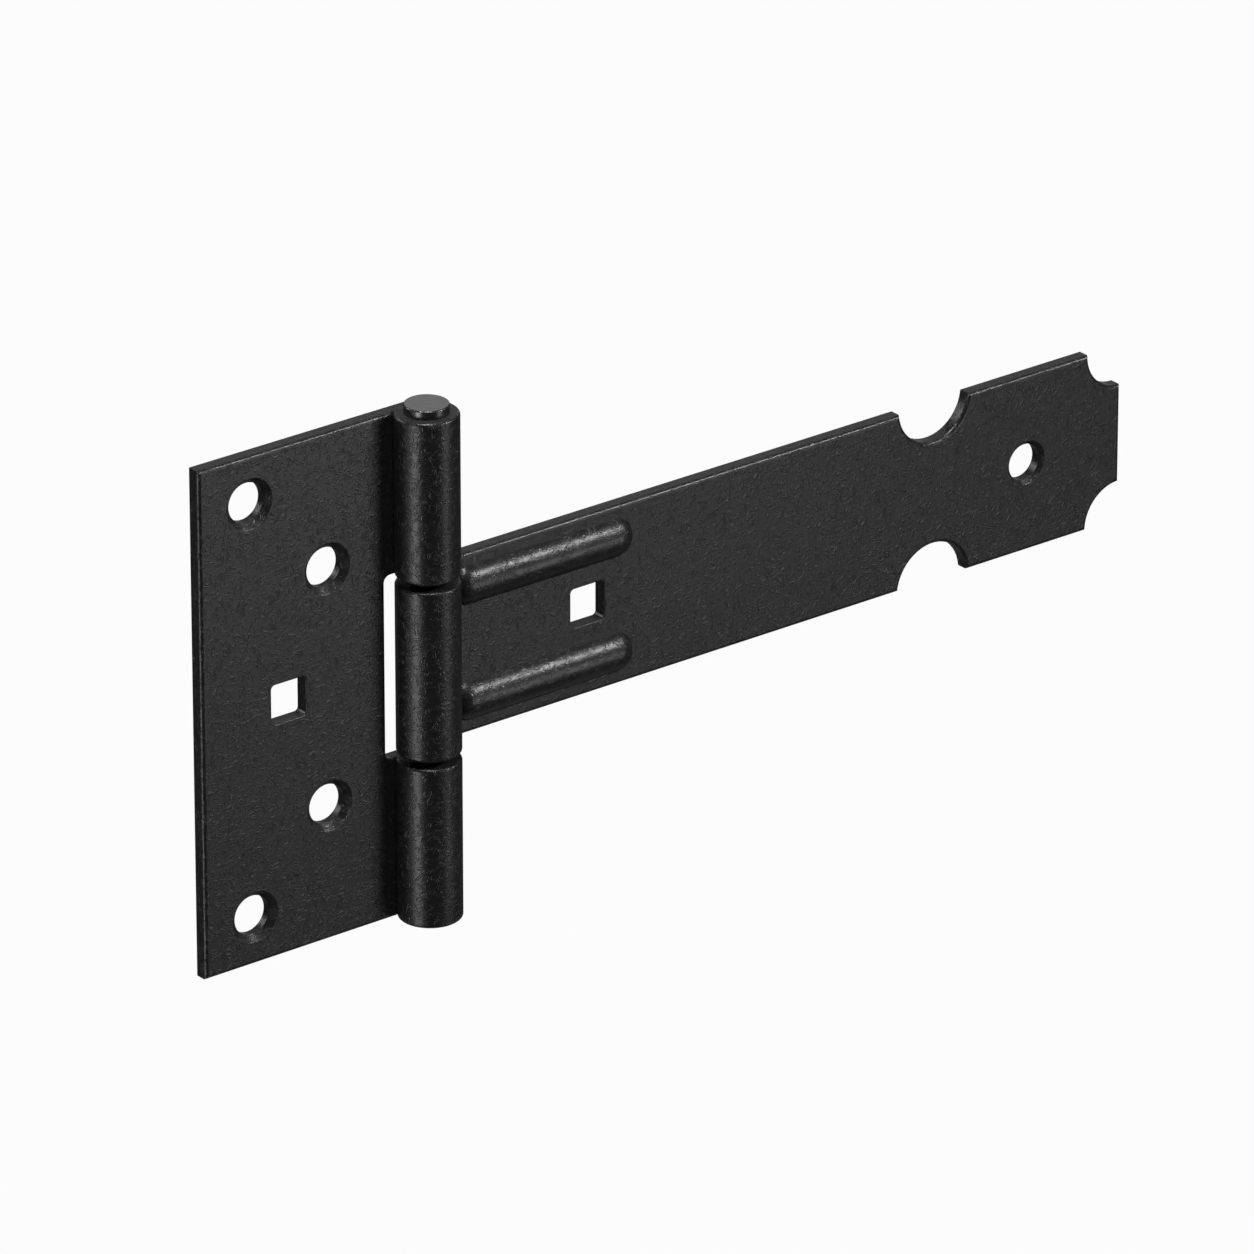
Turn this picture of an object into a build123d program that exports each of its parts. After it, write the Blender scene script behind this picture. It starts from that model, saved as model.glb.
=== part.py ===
from build123d import *
import os

# Tee hinge, opened flat: a butt leaf with two rolled knuckles, a ribbed strap with one, and the pin.
# Millimetres. Z runs up along the pin, X along the strap and Y into the wall that the hinge is fixed to.
# The origin is at the centre of the butt leaf's back face, and both leaves lie back to the plane Y = 0.

# Sheet, pin and knuckles
sheet = 3.2
pin_radius = 4.0
running_clearance = 0.05
centre_knuckle_length = 40.4
knuckle_gap = 1.6
knuckle_rim_round = 0.7
seam_gap = 0.12
edge_round = 0.9
mouth_round = 0.3

# Pin ends
pin_head_overhang = 1.05
pin_head_height = 2.0
pin_head_round = 0.35
pin_tail_chamfer = 0.5

# Butt leaf
leaf_height = 120.0
leaf_width = 58.0
window_clearance = 1.2
window_corner_round = 1.5
leaf_hole_diameter = 9.2
leaf_sink_depth = 1.4
outer_hole_side_margin = 13.5
outer_hole_end_margin = 11.2
inner_hole_side_margin = 34.0
inner_hole_end_margin = 31.9
leaf_square_side_margin = 23.3

# Strap, with its distances along it counted from the pin's axis or from its far end
strap_length = 200.0
strap_width = 43.0
shoulder_clearance = 1.0
strap_square_reach = 47.0
notch_from_end = 54.5
notch_radius = 10.0
notch_outset = 1.0
corner_notch_radius = 9.5
head_hole_from_end = 27.5
head_hole_diameter = 8.7
head_sink_depth = 0.95

# Square holes of both leaves, for coach bolts
square_side = 9.3
square_corner_round = 1.0

# Ribs pressed out of the strap, and the grooves that they leave in its back
rib_edge_margin = 3.1
rib_width = 9.2
rib_height = 2.8
rib_length = 49.8
rib_knuckle_clearance = 2.35
groove_width = 4.2

# Radii and depths that follow from the pin and the sheet, counted from the pin's axis
bore_radius = pin_radius + running_clearance
barrel_radius = bore_radius + sheet
front = bore_radius
back = barrel_radius


def blank(outline):
    """The flat sheet, cut to an outline in X and Z."""
    return extrude(Plane.XZ.offset(-back) * outline, sheet)


def square_hole(x):
    """The outline of a square hole with rounded corners, at half height."""
    return Pos(x, 0) * RectangleRounded(square_side, square_side, square_corner_round)


def sunk_hole(x, z, diameter, sink_depth):
    """What a drill and a right-angled countersink take away, going in at the front face."""
    mouth = Plane(origin=(x, front, z), z_dir=(0, 1, 0))
    inward = (Align.CENTER, Align.CENTER, Align.MIN)
    drill = mouth * Cylinder(diameter / 2, sheet, align=inward)
    sink = mouth * Cone(diameter / 2 + sink_depth, diameter / 2, sink_depth, align=inward)
    return drill + sink


def round_front_edges(plate):
    """Soften the mouths of the holes a little, and the outline more, but not where it meets the knuckle."""
    front_face = plate.faces().sort_by(Axis.Y)[0]
    mouths = [edge for mouth in front_face.inner_wires() for edge in mouth.edges()]
    plate = plate.fillet(mouth_round, mouths)
    front_face = plate.faces().sort_by(Axis.Y)[0]
    outline = [edge for edge in front_face.outer_wire().edges() if abs(edge.center().X) > edge_round]
    return plate.fillet(edge_round, outline)


def knuckle(length, side):
    """Sheet rolled round the pin until its end lies on the front face of its own leaf.

    The leaf runs off to +X for side 1 and to -X for side -1.
    """
    barrel = Cylinder(barrel_radius, length)
    barrel = fillet(barrel.edges(), knuckle_rim_round)
    barrel -= Cylinder(bore_radius, length)
    seam = Pos(side * barrel_radius / 2, front - seam_gap / 2) * Box(barrel_radius, seam_gap, length)
    return barrel - seam


def butt_leaf():
    """The leaf that is fixed to the frame, with the outer two knuckles and a window for the third."""
    window_height = centre_knuckle_length + 2 * knuckle_gap
    window_depth = barrel_radius + window_clearance
    window = Pos(-window_depth / 2, 0) * Rectangle(window_depth, window_height)
    window = fillet(window.vertices().group_by(Axis.X)[0], window_corner_round)

    outline = Pos(-leaf_width / 2, 0) * Rectangle(leaf_width, leaf_height)
    outline -= window + square_hole(leaf_square_side_margin - leaf_width)
    plate = blank(outline)
    for end in (-1, 1):
        for side_margin, end_margin in (
            (outer_hole_side_margin, outer_hole_end_margin),
            (inner_hole_side_margin, inner_hole_end_margin),
        ):
            x = side_margin - leaf_width
            z = end * (leaf_height / 2 - end_margin)
            plate -= sunk_hole(x, z, leaf_hole_diameter, leaf_sink_depth)

    leaf = round_front_edges(plate)
    barrel_length = (leaf_height - window_height) / 2
    for end in (-1, 1):
        leaf += Pos(0, 0, end * (leaf_height - barrel_length) / 2) * knuckle(barrel_length, -1)
    return leaf


def bead(axis_y, radius):
    """A round bar with domed ends along a rib, for its outside or for the groove inside it."""
    start = barrel_radius + rib_knuckle_clearance + rib_width / 2
    end = start + rib_length - rib_width
    bar = Pos((start + end) / 2, axis_y) * Rot(0, 90, 0) * Cylinder(radius, end - start)
    for x in (start, end):
        bar += Pos(x, axis_y) * Sphere(radius)
    return bar


def arc_radius(width, height):
    """The radius of an arc that spans a width and rises to a height."""
    return (width**2 / 4 + height**2) / (2 * height)


def strap_outline():
    """The strap in X and Z: a root as wide as its knuckle, the blade, a notched neck and the head."""
    shoulder = barrel_radius + shoulder_clearance
    half_width = strap_width / 2
    outline = Pos((strap_length + shoulder) / 2, 0) * Rectangle(strap_length - shoulder, strap_width)
    outline += Pos(shoulder / 2, 0) * Rectangle(shoulder, centre_knuckle_length)
    outline -= square_hole(strap_square_reach)
    for end in (-1, 1):
        neck = (strap_length - notch_from_end, end * (half_width + notch_outset))
        outline -= Pos(*neck) * Circle(notch_radius)
        outline -= Pos(strap_length, end * half_width) * Circle(corner_notch_radius)
    return outline


def rib_solid():
    """The outside of one rib, with its hidden half cut off at the middle of the sheet."""
    radius = arc_radius(rib_width, rib_height)
    kept = Pos(strap_length / 2, back - sheet / 2 - radius) * Box(strap_length, 2 * radius, rib_width)
    return bead(front - rib_height + radius, radius) & kept


def groove_solid():
    """What a rib takes away from the back of the sheet."""
    radius = arc_radius(groove_width, rib_height)
    return bead(back - rib_height + radius, radius)


def strap_leaf():
    """The strap that is fixed to the door, with the centre knuckle and the two pressed ribs."""
    plate = blank(strap_outline())
    plate -= sunk_hole(strap_length - head_hole_from_end, 0, head_hole_diameter, head_sink_depth)
    leaf = round_front_edges(plate)

    rib_z = (strap_width - rib_width) / 2 - rib_edge_margin
    rib_places = [Pos(0, 0, z) for z in (-rib_z, rib_z)]
    leaf += [place * rib_solid() for place in rib_places]
    leaf -= [place * groove_solid() for place in rib_places]
    return leaf + knuckle(centre_knuckle_length, 1)


def hinge_pin():
    """The headed pin, put in from above and staked flush with the lower knuckle."""
    head_radius = pin_radius + pin_head_overhang
    shank = Cylinder(pin_radius, leaf_height)
    shank = chamfer(shank.edges().sort_by(Axis.Z)[0], pin_tail_chamfer)
    head = Pos(0, 0, (leaf_height + pin_head_height) / 2) * Cylinder(head_radius, pin_head_height)
    head = fillet(head.edges().sort_by(Axis.Z)[-1], pin_head_round)
    return shank + head


os.makedirs("parts", exist_ok=True)
pin_axis = Pos(leaf_width / 2, -back, 0)
for name, piece in (("butt_leaf", butt_leaf()), ("strap_leaf", strap_leaf()), ("hinge_pin", hinge_pin())):
    export_step(pin_axis * piece, f"parts/{name}.step")
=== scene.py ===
from math import cos, radians, sin

import bpy
from mathutils import Matrix, Vector

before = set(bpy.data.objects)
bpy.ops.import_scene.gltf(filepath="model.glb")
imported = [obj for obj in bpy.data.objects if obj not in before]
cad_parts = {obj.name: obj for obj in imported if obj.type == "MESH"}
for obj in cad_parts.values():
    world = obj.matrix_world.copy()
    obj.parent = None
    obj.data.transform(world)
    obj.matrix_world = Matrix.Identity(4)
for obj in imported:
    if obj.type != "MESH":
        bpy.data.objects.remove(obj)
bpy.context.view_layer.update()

# Camera: the photograph's viewpoint, in degrees and metres. Azimuth 0 would look along +Y.
CAMERA_AZIMUTH = 38.235
CAMERA_ELEVATION = 24.302
CAMERA_DISTANCE = 2.6353
CAMERA_TARGET = Vector((0.08379, -0.00725, -0.00613))
CAMERA_REACH = 100
SENSOR_WIDTH = 36.0
FOCAL_LENGTH_PIXELS = 12000
PHOTO_WIDTH_PIXELS = 1254

# Lamps: softboxes with grids. Azimuth and elevation say where each stands, as for the camera.
LAMP_DISTANCE = 1.6
LAMP_SPREAD = 60
LAMPS = {
    "key": {"azimuth": -42.5, "elevation": 33.4, "width": 0.35, "height": 0.35, "power": 2.15},
    "overhead": {"azimuth": 38, "elevation": 78, "width": 0.35, "height": 0.35, "power": 2.95},
    "strip": {"azimuth": 80, "elevation": -14, "width": 0.6, "height": 0.9, "power": 1.6},
    "fill": {"azimuth": -28, "elevation": -10, "width": 0.6, "height": 0.6, "power": 0.72},
    "rear": {"azimuth": 142, "elevation": 25, "width": 0.9, "height": 0.9, "power": 1.6},
}
WORLD_STRENGTH = 0.08

# The white backdrop behind the hinge, as reflections see it: its middle, and how far it reaches round that.
BACKDROP_MIDDLE = (38, -24)
BACKDROP_EDGES = (0.85, 0.95)
BACKDROP_STRENGTH = 1.0

# Floor, far enough below the hinge for its shadow to lie outside the picture
FLOOR_HEIGHT = -1.6
FLOOR_SIZE = 40.0
FLOOR_GREY = 0.75
FLOOR_WHITE_SHARE = 0.97

# Both finishes: the noise values that a grain seldom passes
GRAIN_LIMITS = (0.3, 0.7)

# Powder coat: grains in features to the metre, heights as shares of the relief, and the relief in metres
WRINKLE_GRAIN = 290
WRINKLE_WARP = 0.4
WRINKLE_CONTOURS = 13.0
WRINKLE_WIDTH = 0.24
STROKE_GRAIN = 700
STROKE_EDGES = (0.42, 0.55)
FINE_GRAIN = 2600
COARSE_GRAIN = 1200
WRINKLE_HEIGHT = 0.5
FINE_HEIGHT = 0.25
COARSE_HEIGHT = 0.4
COAT_RELIEF = 0.00007
# The coat's dark grey, and the lighter grey along its wrinkle lines, which is a painted highlight on the
# ridges
COAT_GREY_AND_RIDGE_HIGHLIGHT = (0.005, 0.018)
COAT_SPECULAR = 0.33
COAT_ROUGHNESS = (0.31, 0.37)
COAT_ROUGHNESS_GRAIN = 420
CUT_EDGE_FACING = (0.9, 0.99)
CUT_EDGE_ROUGHNESS = 0.35

# Pin
PIN_GRAIN = 1800
PIN_RELIEF = 0.00005
PIN_RELIEF_SHARE = 0.05
PIN_GREYS = (0.004, 0.008)
PIN_SPECULAR = 0.57
PIN_ROUGHNESS = (0.24, 0.30)
PIN_ROUGHNESS_GRAIN = 500


def grey(level):
    return (level, level, level, 1)


def look_direction(azimuth, elevation):
    """The way a viewer looks who stands at an azimuth and an elevation, in degrees."""
    azimuth, elevation = radians(azimuth), radians(elevation)
    return Vector((sin(azimuth) * cos(elevation), cos(azimuth) * cos(elevation), -sin(elevation)))


def add_camera():
    """The photograph's camera, upright, with its focal length given in the photograph's pixels."""
    forward = look_direction(CAMERA_AZIMUTH, CAMERA_ELEVATION)
    right = forward.cross(Vector((0, 0, 1))).normalized()
    data = bpy.data.cameras.new("camera")
    data.sensor_width = SENSOR_WIDTH
    data.lens = SENSOR_WIDTH * FOCAL_LENGTH_PIXELS / PHOTO_WIDTH_PIXELS
    data.clip_end = CAMERA_REACH
    camera = bpy.data.objects.new("camera", data)
    turn = Matrix((right, right.cross(forward), -forward)).transposed().to_4x4()
    camera.matrix_world = Matrix.Translation(CAMERA_TARGET - CAMERA_DISTANCE * forward) @ turn
    bpy.context.scene.collection.objects.link(camera)
    bpy.context.scene.camera = camera


def add_softbox(name, azimuth, elevation, width, height, power):
    """A rectangular lamp that looks at the hinge."""
    forward = look_direction(azimuth, elevation)
    data = bpy.data.lights.new(name, "AREA")
    data.shape = "RECTANGLE"
    data.size = width
    data.size_y = height
    data.spread = radians(LAMP_SPREAD)
    data.energy = power
    lamp = bpy.data.objects.new(name, data)
    lamp.location = CAMERA_TARGET - LAMP_DISTANCE * forward
    lamp.rotation_euler = forward.to_track_quat("-Z", "Y").to_euler()
    bpy.context.scene.collection.objects.link(lamp)


class Nodes:
    """A node tree that is built up by short calls."""

    def __init__(self, owner):
        owner.use_nodes = True
        self.tree = owner.node_tree
        self.tree.nodes.clear()

    def add(self, kind, settings=None, **inputs):
        """A new node: its settings, then its inputs, each a value or another node's output.

        An input goes by its name, or by i and its number where names repeat.
        """
        node = self.tree.nodes.new(kind)
        for name, value in (settings or {}).items():
            setattr(node, name, value)
        for name, value in inputs.items():
            socket = node.inputs[int(name[1:])] if name[1:].isdigit() else node.inputs[name.replace("_", " ")]
            if isinstance(value, bpy.types.NodeSocket):
                self.tree.links.new(value, socket)
            else:
                socket.default_value = value
        return node.outputs[0] if node.outputs else None

    def source(self, kind, output):
        """One output of a new node that has no inputs to set."""
        return self.tree.nodes.new(kind).outputs[output]

    def math(self, operation, a, b=0.0):
        return self.add("ShaderNodeMath", {"operation": operation}, i0=a, i1=b)

    def total(self, shares):
        """The sum of values, each times its share."""
        sum_so_far = 0.0
        for value, share in shares:
            sum_so_far = self.math("ADD", sum_so_far, self.math("MULTIPLY", value, share))
        return sum_so_far

    def ramp(self, value, limits, carried_to=(0.0, 1.0)):
        """A value carried smoothly from one range to another."""
        return self.add(
            "ShaderNodeMapRange", {"interpolation_type": "SMOOTHSTEP"},
            Value=value, From_Min=limits[0], From_Max=limits[1], To_Min=carried_to[0], To_Max=carried_to[1],
        )

    def grain(self, place, scale, detail=2.0, warp=0.0):
        """Noise between 0 and 1, with so many features to the metre."""
        return self.add(
            "ShaderNodeTexNoise", Vector=place, Scale=scale, Detail=detail, Roughness=0.5, Distortion=warp
        )

    def grey_between(self, share, greys):
        """A colour between two greys."""
        mix = self.add(
            "ShaderNodeMix", {"data_type": "RGBA"}, i0=share, i6=grey(greys[0]), i7=grey(greys[1])
        )
        return mix.node.outputs[2]

    def seen_directly(self, outward):
        """1 on camera rays, and on glossy and transmission rays that go out towards the backdrop.

        It is 0 on the rays that light things, and on reflections of the room in front.
        """
        path = self.tree.nodes.new("ShaderNodeLightPath")
        facing = self.add("ShaderNodeVectorMath", {"operation": "NORMALIZE"}, i0=outward)
        middle = look_direction(*BACKDROP_MIDDLE)
        facing = self.add("ShaderNodeVectorMath", {"operation": "DOT_PRODUCT"}, i0=facing, i1=middle)
        backdrop = self.ramp(facing.node.outputs["Value"], BACKDROP_EDGES)
        bounced = self.math("MAXIMUM", path.outputs["Is Glossy Ray"], path.outputs["Is Transmission Ray"])
        return self.math("MAXIMUM", path.outputs["Is Camera Ray"], self.math("MULTIPLY", bounced, backdrop))


def light_world():
    """A dim even light from all round, and the white backdrop."""
    world = bpy.data.worlds.new("world")
    bpy.context.scene.world = world
    nodes = Nodes(world)
    light = nodes.add("ShaderNodeBackground", Color=grey(1), Strength=WORLD_STRENGTH)
    backdrop = nodes.add("ShaderNodeBackground", Color=grey(1), Strength=BACKDROP_STRENGTH)
    direction = nodes.source("ShaderNodeTexCoord", "Generated")
    mix = nodes.add("ShaderNodeMixShader", i0=nodes.seen_directly(direction), i1=light, i2=backdrop)
    nodes.add("ShaderNodeOutputWorld", Surface=mix)


def floor_material():
    """Pale and matt, and nearly as white as the backdrop where it is seen."""
    material = bpy.data.materials.new("floor")
    nodes = Nodes(material)
    matt = nodes.add("ShaderNodeBsdfDiffuse", Color=grey(FLOOR_GREY))
    white = nodes.add("ShaderNodeEmission", Strength=BACKDROP_STRENGTH)
    position = nodes.source("ShaderNodeNewGeometry", "Position")
    share = nodes.math("MULTIPLY", nodes.seen_directly(position), FLOOR_WHITE_SHARE)
    mix = nodes.add("ShaderNodeMixShader", i0=share, i1=matt, i2=white)
    nodes.add("ShaderNodeOutputMaterial", Surface=mix)
    return material


def add_floor():
    """A level square below the hinge."""
    half = FLOOR_SIZE / 2
    mesh = bpy.data.meshes.new("floor")
    corners = [(-half, -half, 0), (half, -half, 0), (half, half, 0), (-half, half, 0)]
    mesh.from_pydata(corners, [], [(0, 1, 2, 3)])
    mesh.materials.append(floor_material())
    floor = bpy.data.objects.new("floor", mesh)
    floor.location = (0, 0, FLOOR_HEIGHT)
    bpy.context.scene.collection.objects.link(floor)


def powder_coat():
    """Matt black powder coat: fine grain, with thin curved wrinkles standing up from it in strokes."""
    material = bpy.data.materials.new("coat")
    nodes = Nodes(material)
    place = nodes.source("ShaderNodeTexCoord", "Object")

    # Wrinkles are thin contour lines of a slow noise, broken into strokes by a second noise.
    slow = nodes.grain(place, WRINKLE_GRAIN, detail=1.0, warp=WRINKLE_WARP)
    wave = nodes.math("PINGPONG", nodes.math("MULTIPLY", slow, WRINKLE_CONTOURS), 0.5)
    line = nodes.ramp(wave, (0.0, WRINKLE_WIDTH), (1.0, 0.0))
    stroke = nodes.ramp(nodes.grain(place, STROKE_GRAIN, detail=1.0), STROKE_EDGES)
    # The wrinkle mask gives the real bump, and also lightens the colour as a painted highlight on the ridges
    wrinkle_and_ridge_highlight = nodes.math("MULTIPLY", line, stroke)

    fine = nodes.grain(place, FINE_GRAIN)
    coarse = nodes.grain(place, COARSE_GRAIN)
    height = nodes.total([(wrinkle_and_ridge_highlight, WRINKLE_HEIGHT), (fine, FINE_HEIGHT), (coarse, COARSE_HEIGHT)])
    bump = nodes.add("ShaderNodeBump", Strength=1.0, Distance=COAT_RELIEF, Height=height)

    # The faces that look up or down the pin are cut through the sheet, and rougher than its rolled faces.
    normal = nodes.source("ShaderNodeTexCoord", "Normal")
    upright = nodes.add("ShaderNodeSeparateXYZ", Vector=normal).node.outputs["Z"]
    cut = nodes.ramp(nodes.math("ABSOLUTE", upright), CUT_EDGE_FACING)
    rolled = nodes.ramp(nodes.grain(place, COAT_ROUGHNESS_GRAIN), GRAIN_LIMITS, COAT_ROUGHNESS)
    rough = nodes.math("ADD", rolled, nodes.math("MULTIPLY", cut, CUT_EDGE_ROUGHNESS))

    # Base colour lighter along the wrinkles: a painted highlight on their ridges, added to their real bump
    shader = nodes.add(
        "ShaderNodeBsdfPrincipled",
        Base_Color=nodes.grey_between(wrinkle_and_ridge_highlight, COAT_GREY_AND_RIDGE_HIGHLIGHT),
        Roughness=rough, Normal=bump, Specular_IOR_Level=COAT_SPECULAR,
    )
    nodes.add("ShaderNodeOutputMaterial", Surface=shader)
    return material


def satin_black():
    """The pin: bare satin black, smoother than the coat."""
    material = bpy.data.materials.new("pin")
    nodes = Nodes(material)
    place = nodes.source("ShaderNodeTexCoord", "Object")
    fine = nodes.grain(place, PIN_GRAIN, detail=3.0)
    bump = nodes.add("ShaderNodeBump", Strength=PIN_RELIEF_SHARE, Distance=PIN_RELIEF, Height=fine)
    rough = nodes.ramp(nodes.grain(place, PIN_ROUGHNESS_GRAIN), GRAIN_LIMITS, PIN_ROUGHNESS)
    shader = nodes.add(
        "ShaderNodeBsdfPrincipled",
        Base_Color=nodes.grey_between(fine, PIN_GREYS),
        Roughness=rough, Normal=bump, Specular_IOR_Level=PIN_SPECULAR,
    )
    nodes.add("ShaderNodeOutputMaterial", Surface=shader)
    return material


def finish_node(node, material):
    """Puts a material on a whole CAD node."""
    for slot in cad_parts[node].material_slots:
        slot.material = material


bpy.context.scene.view_settings.view_transform = "Standard"
add_camera()
light_world()
for name, lamp in LAMPS.items():
    add_softbox(name, **lamp)
add_floor()
coat = powder_coat()
finish_node("butt_leaf", coat)
finish_node("strap_leaf", coat)
finish_node("hinge_pin", satin_black())
